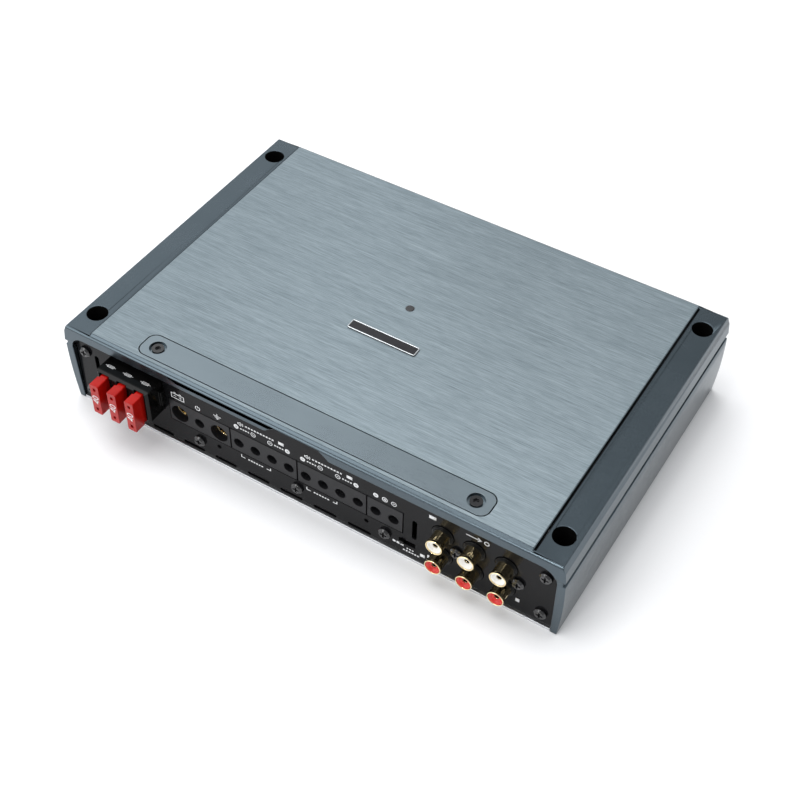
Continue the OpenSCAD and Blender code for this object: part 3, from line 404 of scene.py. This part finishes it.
finishes["ferrite"] = grained(
    "ferrite", (0.018, 0.018, 0.020), (0.050, 0.050, 0.054), 0.0, (0.50, 0.66),
    (2.5, 2.5, 2.5), (0.12, 0.12, 0.12), 0.020)
finishes["copper_wire"] = grained(
    "copper_wire", (0.46, 0.14, 0.040), (0.70, 0.26, 0.090), 1.0, (0.20, 0.32),
    (3, 3, 3), (0.15, 0.15, 0.15), 0.004, Coat_Weight=0.5)
finishes["capacitor_sleeve"] = grained(
    "capacitor_sleeve", (0.008, 0.012, 0.050), (0.014, 0.020, 0.080), 0.0, (0.24, 0.34),
    (5, 5, 9), (0.4, 0.4, 0.4), 0.006)
finishes["moulded_package"] = grained(
    "moulded_package", (0.012, 0.012, 0.012), (0.024, 0.024, 0.024), 0.0, (0.45, 0.58),
    (2, 2, 2), (0.1, 0.1, 0.1), 0.008)
finishes["circuit_board"] = grained(
    "circuit_board", (0.006, 0.060, 0.028), (0.018, 0.120, 0.055), 0.0, (0.20, 0.30),
    (3.5, 0.6, 3), (0.5, 0.5, 0.5), 0.010)
missing = set(slot_of.values()) - set(finishes)
print("slots with no finish yet:", sorted(missing))

# %% [markdown]
# ## Rounded copies of the parts
#
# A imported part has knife-sharp edges, and no real edge is one: a casting has a radius, sheet
# metal a rolled burr. Rounded edges catch the light and show the form. So each part is copied,
# the loose triangles are merged and flat ones joined, and a Bevel modifier rounds what is sharp.

# %% Rounded copies
flat_limit = np.radians(0.4)
sharp_limit = np.radians(28)
# parts whose large flat faces fold over when their edges move inwards, unless cut into triangles
cut_again = {"top_frame"}


def rounded(node, radius_mm, steps=2):
    """Copy of a part, rounded on every edge sharper than the limit; it stands for the part."""
    mesh = frame["nodes"][node].data.copy()
    mesh.name = node + "_skin"
    shell = bmesh.new()
    shell.from_mesh(mesh)
    bmesh.ops.remove_doubles(shell, verts=shell.verts, dist=1e-6)
    bmesh.ops.dissolve_limit(shell, angle_limit=flat_limit, verts=shell.verts, edges=shell.edges)
    if node in cut_again:
        many_sided = [f for f in shell.faces if len(f.verts) > 4]
        bmesh.ops.triangulate(shell, faces=many_sided)
    shell.to_mesh(mesh)
    shell.free()
    mesh.shade_smooth()
    mesh.set_sharp_from_angle(angle=sharp_limit)
    piece = add_piece(node + "_skin", mesh, body_of[node], finishes[slot_of[node]])
    if radius_mm:
        bevel = piece.modifiers.new("edges", "BEVEL")
        bevel.width = radius_mm * mm
        bevel.segments = steps
        bevel.limit_method = "ANGLE"
        bevel.angle_limit = sharp_limit
        bevel.harden_normals = True
        bevel.use_clamp_overlap = False
    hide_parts(node)
    return piece


edge_radius = {
    "top_frame": 0.35, "left_cheek": 0.35, "right_cheek": 0.35, "top_plate": 0.1,
    "access_cover": 0.1, "base_plate": 0.2, "front_panel": 0.15, "rear_panel": 0.15,
    "fuse_holder": 0.25, "fuse_1": 0.15, "fuse_2": 0.15, "fuse_3": 0.15,
    "power_terminal_block": 0.1, "speaker_a_terminal_block": 0.2,
    "speaker_b_terminal_block": 0.2, "subwoofer_terminal_block": 0.2,
    "rca_housing": 0.2, "badge_plate": 0.25, "indicator_lens": 0.3,
    "selector_knob": 0.15, "control_board": 0, "main_board": 0,
    "transformer_winding": 0.15, "output_inductors": 0.4, "transformer_core": 0.4,
}
default_radius = 0.1
turned_here = ["rca_shells", "rca_white_inserts", "rca_red_inserts"]
skins = {}
for node in frame["nodes"]:
    if node not in turned_here:
        skins[node] = rounded(node, edge_radius.get(node, default_radius))
print("rounded copies", len(skins))

# %% [markdown]
# The brushed finish needs to know which way the brush went. A flat unwrapping gives it: U grows
# with X and V with Y, so the brush direction is the U direction all over the plate.

# %% Brush direction
plate_mesh = skins["top_plate"].data
corners = np.empty(len(plate_mesh.loops), np.int32)
plate_mesh.loops.foreach_get("vertex_index", corners)
places = np.empty(len(plate_mesh.vertices) * 3, np.float32)
plate_mesh.vertices.foreach_get("co", places)
plate_size = plate_high - plate_low
flat = (places.reshape(-1, 3)[:, :2] - plate_low[:2]) / plate_size[0]
while plate_mesh.uv_layers:
    plate_mesh.uv_layers.remove(plate_mesh.uv_layers[0])
plate_mesh.uv_layers.new(name="flat").data.foreach_set("uv", flat[corners].ravel())
print("unwrapped corners", len(corners))

# %% [markdown]
# ## Phono jacks
#
# A jack is a turned, gold-plated barrel with a rolled rim, round a white or red plastic core
# whose dished face leads into the contact. Each is a profile on a lathe, so the rim's radius and
# the dish are real shape and catch the light as rings.

# %% Turned jacks
shell_low, shell_high = box("rca_shells")
jack_radius = 4.15 * mm
jack_columns = np.linspace(shell_low[0] + jack_radius, shell_high[0] - jack_radius, 3)
jack_rows = {"white": shell_high[2] - jack_radius, "red": shell_low[2] + jack_radius}
jack_tip = panel_front - shell_low[1]
barrel_profile = np.array([
    (-4.0, 3.30), (-4.0, 3.95), (1.2, 3.95), (1.5, 4.00), (5.9, 4.00), (6.15, 4.05), (6.5, 4.15),
    (8.05, 4.15), (8.25, 4.10), (8.37, 4.00), (8.4, 3.88), (8.36, 3.77), (8.25, 3.70), (8.0, 3.66),
    (6.4, 3.66), (6.2, 3.40), (-3.9, 3.30)]) * mm
core_profile = np.array([
    (-3.0, 1.75), (-3.0, 3.25), (6.3, 3.36), (6.5, 3.62), (7.85, 3.62), (8.02, 3.50), (8.05, 3.30),
    (7.95, 2.95), (7.65, 2.60), (7.2, 2.25), (6.95, 1.90), (6.9, 1.55), (6.85, 1.38), (6.6, 1.34),
    (6.5, 1.75)]) * mm


def in_a_row(profile, row_z):
    """The turned shape set at the three jack columns of one row."""
    parts = []
    for x in jack_columns:
        points, faces = lathe(profile)
        parts.append((points + np.array([x, panel_front, row_z]), faces))
    return joined(parts)


barrels = joined([in_a_row(barrel_profile, z) for z in jack_rows.values()])
piece = add_piece("phono_barrels", surface("phono_barrels", *barrels), "chassis",
                  finishes["gold_plate"])
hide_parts("rca_shells")
for colour, row_z in jack_rows.items():
    name, slot_name = f"phono_cores_{colour}", f"insert_{colour}"
    mesh = surface(name, *in_a_row(core_profile, row_z))
    piece = add_piece(name, mesh, "chassis", finishes[slot_name])
    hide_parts(f"rca_{colour}_inserts")
print("jack columns", np.round(jack_columns / mm, 2), "tip", round(jack_tip / mm, 2))

# %% [markdown]
# ## Black well liners
#
# The script lines each screw well with a dark sleeve, so the wells are black to the bottom. It is a
# turned sleeve a tenth of a millimetre thick, standing upright, so the lathe's axis is swapped to Z.

# %% Well liners
well_x, well_y = 125.5 * mm, 74.0 * mm
liner_profile = np.array([(5.05, 2.6), (5.05, 5.1), (49.5, 5.1), (49.6, 5.06), (49.5, 5.0),
                          (5.2, 5.0), (5.2, 2.6)]) * mm
liner_points, liner_faces = lathe(liner_profile)
liner_points = liner_points[:, [0, 2, 1]] * np.array([1, 1, -1])
liners = [(liner_points + np.array([sx * well_x, sy * well_y, 0]), liner_faces)
          for sx in (-1, 1) for sy in (-1, 1)]
piece = add_piece("well_liners", surface("well_liners", *joined(liners)), "chassis",
                  finishes["black_plastic"])
print("liner corners", len(liner_points))

# %% [markdown]
# ## White print
#
# The panel carries white screen print beside each connector. It is drawn as flat pen lines a few
# hundredths of a millimetre above the paint: plus and minus signs, a battery, a power sign, an
# earth sign, loudspeakers and plain tags. Real lines keep sharp edges at any distance.

# %% Print marks
ink, fine_ink = 0.42, 0.32
group_shift = 37.06


def ring(x, z, radius, width=fine_ink, start=0, turn=360, steps=28):
    """Circle or arc: x + radius * cos(angle), z + radius * sin(angle)."""
    closed = turn == 360
    angle = np.radians(start + np.linspace(0, turn, steps, endpoint=not closed))
    return pen(np.stack([x + radius * np.cos(angle), z + radius * np.sin(angle)], 1), width, closed)


def bar(x0, z0, x1, z1, width=ink):
    """Straight line from one point to another."""
    return pen([(x0, z0), (x1, z1)], width)


def sign(x, z, plus, filled=False, radius=1.25):
    """Plus or minus in a ring; a filled one is a thick ring round a smaller sign."""
    marks = [ring(x, z, radius * 0.78, radius * 0.6)] if filled else [ring(x, z, radius)]
    arm = radius * (0.45 if filled else 0.55)
    marks.append(bar(x - arm, z, x + arm, z, fine_ink))
    if plus:
        marks.append(bar(x, z - arm, x, z + arm, fine_ink))
    return marks


def loudspeaker(x, z, size=1.0):
    """Box and cone outline with two sound arcs."""
    outline = np.array([(-1.3, -0.5), (-0.5, -0.5), (0.4, -1.3),
                        (0.4, 1.3), (-0.5, 0.5), (-1.3, 0.5)])
    marks = [pen(outline * size + [x, z], fine_ink, True)]
    for radius in (1.0, 1.7):
        marks.append(ring(x + 0.4 * size, z, radius * size, fine_ink, -42, 84, 10))
    return marks


def tag(x, z, width, height):
    """Solid block."""
    return [bar(x - width / 2, z, x + width / 2, z, height)]


def rule(x0, x1, z, dash=None, gap=None, width=ink):
    """Line, or a row of dashes, between two points at one height."""
    if not dash:
        return [bar(x0, z, x1, z, width)]
    starts = np.arange(x0, x1 - dash * 0.5, dash + gap)
    return [bar(s, z, min(s + dash, x1), z, width) for s in starts]


print("marks in one loudspeaker", len(loudspeaker(0, 0)))

# %% Print on the panel
marks = []
# power terminals: battery, on/off and earth
marks += [pen([(-73.4, 32.2), (-66.2, 32.2), (-66.2, 35.2), (-73.4, 35.2)], ink, True)]
marks += [bar(-72.0, 35.9, -70.8, 35.9), bar(-68.8, 35.9, -67.6, 35.9)]
marks += [bar(-72.2, 33.7, -70.6, 33.7, fine_ink), bar(-69.0, 33.7, -67.4, 33.7, fine_ink)]
marks += [bar(-68.2, 32.9, -68.2, 34.5, fine_ink)]
marks += [ring(-58.2, 32.6, 1.25, ink, 120, 300, 22), bar(-58.2, 32.7, -58.2, 34.2)]
marks += [bar(-46.8, 35.4, -46.8, 33.8), bar(-49.0, 33.8, -44.6, 33.8)]
marks += [bar(-48.2, 32.9, -45.4, 32.9), bar(-47.4, 32.0, -46.2, 32.0)]
# speaker terminals, group A and group B
for shift in (0, group_shift):
    marks += loudspeaker(-33.6 + shift, 36.4, 0.85)
    marks += rule(-30.6 + shift, -14.6 + shift, 36.4, 1.1, 0.55, 0.9)
    marks += tag(-10.6 + shift, 36.5, 3.0, 1.9)
    marks += sign(-35.9 + shift, 33.4, True, True) + sign(-26.3 + shift, 33.2, False)
    marks += sign(-16.9 + shift, 33.2, False) + sign(-7.2 + shift, 33.4, True, True)
    marks += rule(-33.6 + shift, -28.6 + shift, 33.3, 0.9, 0.5, 0.8)
    marks += rule(-14.5 + shift, -9.4 + shift, 33.3, 0.9, 0.5, 0.8)
    marks += [pen([(-34.2 + shift, 14.8), (-34.2 + shift, 13.2), (-32.0 + shift, 13.2)], ink)]
    marks += [pen([(-17.6 + shift, 14.8), (-17.6 + shift, 13.2), (-19.8 + shift, 13.2)], ink)]
    marks += rule(-30.4 + shift, -21.4 + shift, 13.3, 1.0, 0.5, 0.8)
# subwoofer terminals
marks += sign(40.3, 33.4, True, True) + sign(49.7, 33.2, False)
marks += [ring(45.0, 33.3, 1.3, ink), ring(45.0, 33.3, 0.45, ink)]
# phono jacks and selector
marks += tag(69.4, 37.0, 3.6, 2.0)
marks += [pen([(86.0, 37.2), (93.4, 37.2)], ink)]
marks += [pen([(91.8, 38.3), (93.6, 37.2), (91.8, 36.1)], ink)]
marks += [ring(96.2, 37.2, 1.1, ink)]
marks += tag(113.6, 9.2, 2.0, 2.2) + tag(69.0, 8.3, 2.2, 2.0)
marks += rule(49.6, 55.6, 7.6, 1.6, 0.5, 1.3) + rule(57.0, 61.4, 6.6, 0.9, 0.5, 0.7)
marks += rule(55.2, 63.8, 4.6, 1.0, 0.5, 0.9) + tag(65.4, 6.6, 2.4, 2.0)

ink_lift = 0.02 * mm
flat_points, mark_faces = joined(marks)
mark_points = np.stack([flat_points[:, 0] * mm, np.full(len(flat_points), panel_front - ink_lift),
                        flat_points[:, 1] * mm], 1)
finishes["white_ink"] = grained(
    "white_ink", (0.72, 0.73, 0.74), (0.86, 0.87, 0.88), 0.0, (0.45, 0.60),
    (0.8, 0.8, 0.8), (0.1, 0.1, 0.1), 0.004)


def printed(name, points, faces, body, finish, film=0.08):
    """Thin raised film: the flat marks, given a thickness to both sides."""
    piece = add_piece(name, surface(name, points, faces), body, finish)
    solid = piece.modifiers.new("film", "SOLIDIFY")
    solid.thickness = film * mm
    solid.offset = 0.0
    return piece


printed("panel_print", mark_points, mark_faces, "chassis", finishes["white_ink"])
print("print marks", len(marks), "faces", len(mark_faces))

# %% [markdown]
# ## Fuse ratings
#
# Each blade fuse has its rating in white on its front face, read upwards. The two figures are
# pen lines too: the four needs four points, and the nought is an ellipse.

# %% Fuse figures
figure_height, figure_width, figure_inset = 3.3, 2.1, 0.3
four = np.array([(0.78, 0.0), (0.78, 1.0), (0.0, 0.30), (1.0, 0.30)])
turn = np.linspace(0, 2 * np.pi, 22, endpoint=False)
nought = np.stack([0.5 + 0.46 * np.cos(turn), 0.5 + 0.5 * np.sin(turn)], 1)


def figures(x, z):
    """4 and 0 side by side, turned a quarter so that they read upwards; the middle is x, z."""
    size = np.array([figure_width, figure_height])
    marks = []
    for shape, closed, start in ((four, False, -figure_width - figure_inset),
                                 (nought, True, figure_inset)):
        flat = shape * size + [start, -figure_height / 2]
        turned = np.stack([x - flat[:, 1], z + flat[:, 0]], 1)
        marks.append(pen(turned, ink, closed))
    return marks


for number in (1, 2, 3):
    low, high = box(f"fuse_{number}")
    middle = (low + high) / 2
    points, faces = joined(figures(middle[0] / mm, middle[2] / mm))
    points = np.stack([points[:, 0] * mm, np.full(len(points), low[1] - ink_lift),
                       points[:, 1] * mm], 1)
    printed(f"fuse_{number}_rating", points, faces, f"fuse_{number}", finishes["white_ink"])
print("fuse front", round(low[1] / mm, 2), "width", round((high - low)[0] / mm, 2))

# %% [markdown]
# The holder's top carries one small symbol for each fuse: a box with a wire through it. It is
# the same pen print, laid flat on the top face instead of upright on the panel.

# %% Fuse symbols on the holder
holder_low, holder_high = box("fuse_holder")
symbol_y = (holder_low[1] / mm + panel_front / mm) / 2
symbol_ink = 0.18
symbol_box = np.array([(-1.7, -0.6), (1.7, -0.6), (1.7, 0.6), (-1.7, 0.6)])
wire_reach = 3.0
symbols = []
for number in (1, 2, 3):
    x = sum(b[0] for b in box(f"fuse_{number}")) / 2 / mm
    symbols.append(pen(symbol_box + [x, symbol_y], symbol_ink, True))
    symbols.append(pen([(x - wire_reach, symbol_y), (x + wire_reach, symbol_y)], symbol_ink))
points, faces = joined(symbols)
points = np.column_stack([points * mm, np.full(len(points), holder_high[2] + ink_lift)])
printed("holder_symbols", points, faces, "chassis", finishes["white_ink"])
print("holder top", round(holder_high[2] / mm, 2))

# %% [markdown]
# ## Shadow lines
#
# The gap round the access cover and the groove along each rail read as thin black lines, because
# little light gets in. A dark strip for each does it: a closed ribbon that follows the cover's
# outline, and a straight one along each groove.

# %% Strips in the gap and the grooves
cover_low, cover_high = box("access_cover")
cover_middle = (cover_low + cover_high)[:2] / 2
cover_half = (cover_high - cover_low)[:2] / 2
cover_gap, cover_corner = 0.5 * mm, 4.5 * mm
gap_floor = 50.0 * mm
groove_width, groove_floor = 0.8 * mm, 49.0 * mm
gap_share, groove_share = 0.9, 0.94
strip_lift, strip_film = 0.1 * mm, 0.1


def rounded_outline(half_x, half_y, radius, steps=12):
    """Rounded rectangle: four quarter circles, corner centre + radius * (cos a, sin a)."""
    angle = np.radians(np.linspace(0, 90, steps)[None, :] + np.arange(4)[:, None] * 90)
    sign_x, sign_y = np.array([1, -1, -1, 1]), np.array([1, 1, -1, -1])
    x = (sign_x * (half_x - radius))[:, None] + radius * np.cos(angle)
    y = (sign_y * (half_y - radius))[:, None] + radius * np.sin(angle)
    return np.stack([x.ravel(), y.ravel()], 1)


half_gap = cover_gap / 2
ribbon, ribbon_faces = pen(cover_middle + rounded_outline(
    *(cover_half + half_gap), cover_corner + half_gap), cover_gap * gap_share, True)
strips = [(np.column_stack([ribbon, np.full(len(ribbon), gap_floor + strip_lift)]), ribbon_faces)]
for side in (-1, 1):
    x = side * (plate_high[0] + groove_width / 2)
    line, line_faces = pen([(x, plate_low[1]), (x, plate_high[1])], groove_width * groove_share)
    height = np.full(len(line), groove_floor + strip_lift)
    strips.append((np.column_stack([line, height]), line_faces))
printed("shadow_strips", *joined(strips), "chassis", finishes["black_plastic"], strip_film)
print("cover outline", np.round(cover_half * 2 / mm, 2))

# %% [markdown]
# ## Badge rim
#
# The badge is a dark plate with a bright, cut edge. The rim is a small bead carried round the
# plate's outline. Its section is a flattened circle, so some part of it always shines.

# %% Rim round the badge
badge_low, badge_high = box("badge_plate")
badge_middle = (badge_low + badge_high)[:2] / 2
badge_half = (badge_high - badge_low)[:2] / 2
badge_corner = 1.0 * mm
bead, bead_sides, bead_flatness = 0.28 * mm, 12, 0.6
rings = []
for angle in np.linspace(0, 2 * np.pi, bead_sides, endpoint=False):
    out = bead * np.cos(angle)
    outline = badge_middle + rounded_outline(*(badge_half - bead + out), badge_corner - bead + out)
    height = badge_high[2] + bead * np.sin(angle) * bead_flatness
    rings.append(np.column_stack([outline, np.full(len(outline), height)]))
rim_points = np.stack(rings).reshape(-1, 3)
rim_faces = grid_faces(bead_sides, len(rings[0]), True, True)
finishes["bright_rim"] = grained(
    "bright_rim", (0.55, 0.58, 0.60), (0.75, 0.78, 0.80), 1.0, (0.12, 0.20),
    (3, 3, 3), (0.1, 0.1, 0.1), 0.001)
add_piece("badge_rim", surface("badge_rim", rim_points, rim_faces), "chassis",
          finishes["bright_rim"])
print("badge", np.round(badge_half * 2 / mm, 2))

# %% [markdown]
# ## Floor and light
#
# The amplifier lies on a white sweep in a light tent, so the shadows are soft and the floor is
# nearly white. The tent is a world whose brightness changes in soft bands along X, and the metal
# mirrors those bands. The overhead light is two equal lamps at one place. The metal mirrors only
# one of them, so the plate is lit without being washed out. A lamp at the left front lights the
# panel's side, and a small one puts glints on the screws.

# %% Floor
floor_half = 3.0
floor_mesh = bpy.data.meshes.new("floor")
floor_points = np.array([(-1, -1, 0), (1, -1, 0), (1, 1, 0), (-1, 1, 0)], float) * floor_half
floor_mesh.from_pydata(floor_points.tolist(), [], [(0, 1, 2, 3)])
floor = bpy.data.objects.new("floor", floor_mesh)
bpy.context.scene.collection.objects.link(floor)
floor_mesh.materials.append(grained(
    "white_sweep", (0.88, 0.88, 0.89), (0.90, 0.90, 0.91), 0.0, (0.55, 0.65),
    (80, 80, 80), (2, 2, 2), 0.01))
print("floor", floor_half * 2, "m square")

# %% Tent and lamps
brightest = 1.5
world = bpy.data.worlds.new("tent")
bpy.context.scene.world = world
world.use_nodes = True
sky = world.node_tree
sky_place = sky.nodes.new("ShaderNodeTexCoord")
sky_dot = sky.nodes.new("ShaderNodeVectorMath")
sky_dot.operation = "DOT_PRODUCT"
sky_dot.inputs[1].default_value = (-1.0, 0.0, 0.0)
sky.links.new(sky_place.outputs["Generated"], sky_dot.inputs[0])
sky_bands = sky.nodes.new("ShaderNodeValToRGB")
# each band: where it lies, as the dot product of the view direction with -X, and its brightness
bands = [(0.10, 0.60), (0.17, 0.62), (0.22, 0.88), (0.27, 0.62), (0.315, 0.36), (0.345, 0.60),
         (0.385, 1.48), (0.44, 1.16), (0.50, 1.18), (0.55, 1.36)]
stops = sky_bands.color_ramp.elements
while len(stops) < len(bands):
    stops.new(0.5)
for stop, (position, level) in zip(stops, bands):
    stop.position = position
    stop.color = (level / brightest, level / brightest, level / brightest, 1)
sky_level = sky.nodes.new("ShaderNodeMath")
sky_level.operation = "MULTIPLY"
sky_level.inputs[1].default_value = brightest
sky.links.new(sky_dot.outputs["Value"], sky_bands.inputs["Fac"])
sky.links.new(sky_bands.outputs["Color"], sky_level.inputs[0])
sky.links.new(sky_level.outputs["Value"], sky.nodes["Background"].inputs["Strength"])
sky.nodes["Background"].inputs["Color"].default_value = (0.97, 0.985, 1.0, 1)


def lamp(name, place, size, watts, aim_at=(0, 0, 0.02)):
    """Square soft lamp at a place, facing the point it aims at."""
    data = bpy.data.lights.new(name, "AREA")
    data.shape = "SQUARE"
    data.size = size
    data.energy = watts
    light = bpy.data.objects.new(name, data)
    bpy.context.scene.collection.objects.link(light)
    away = np.array(place, float) - np.array(aim_at, float)
    away /= np.linalg.norm(away)
    side = np.cross((0, 0, 1), away)
    side /= np.linalg.norm(side)
    turn = np.eye(4)
    turn[:3, 0], turn[:3, 1], turn[:3, 2] = side, np.cross(away, side), away
    turn[:3, 3] = place
    light.matrix_world = Matrix(turn.tolist())
    return light


overhead = ((-0.25, 0.1, 1.9), 1.3, 12)
lamp("overhead_lamp", *overhead)
fill = lamp("fill_lamp", *overhead)
fill.visible_glossy = False
lamp("front_lamp", (-0.67, -1.12, 0.93), 0.8, 4.2)
lamp("glint_lamp", (-0.1, -1.25, 1.25), 0.12, 3.0)
bpy.context.scene.view_settings.view_transform = "Standard"
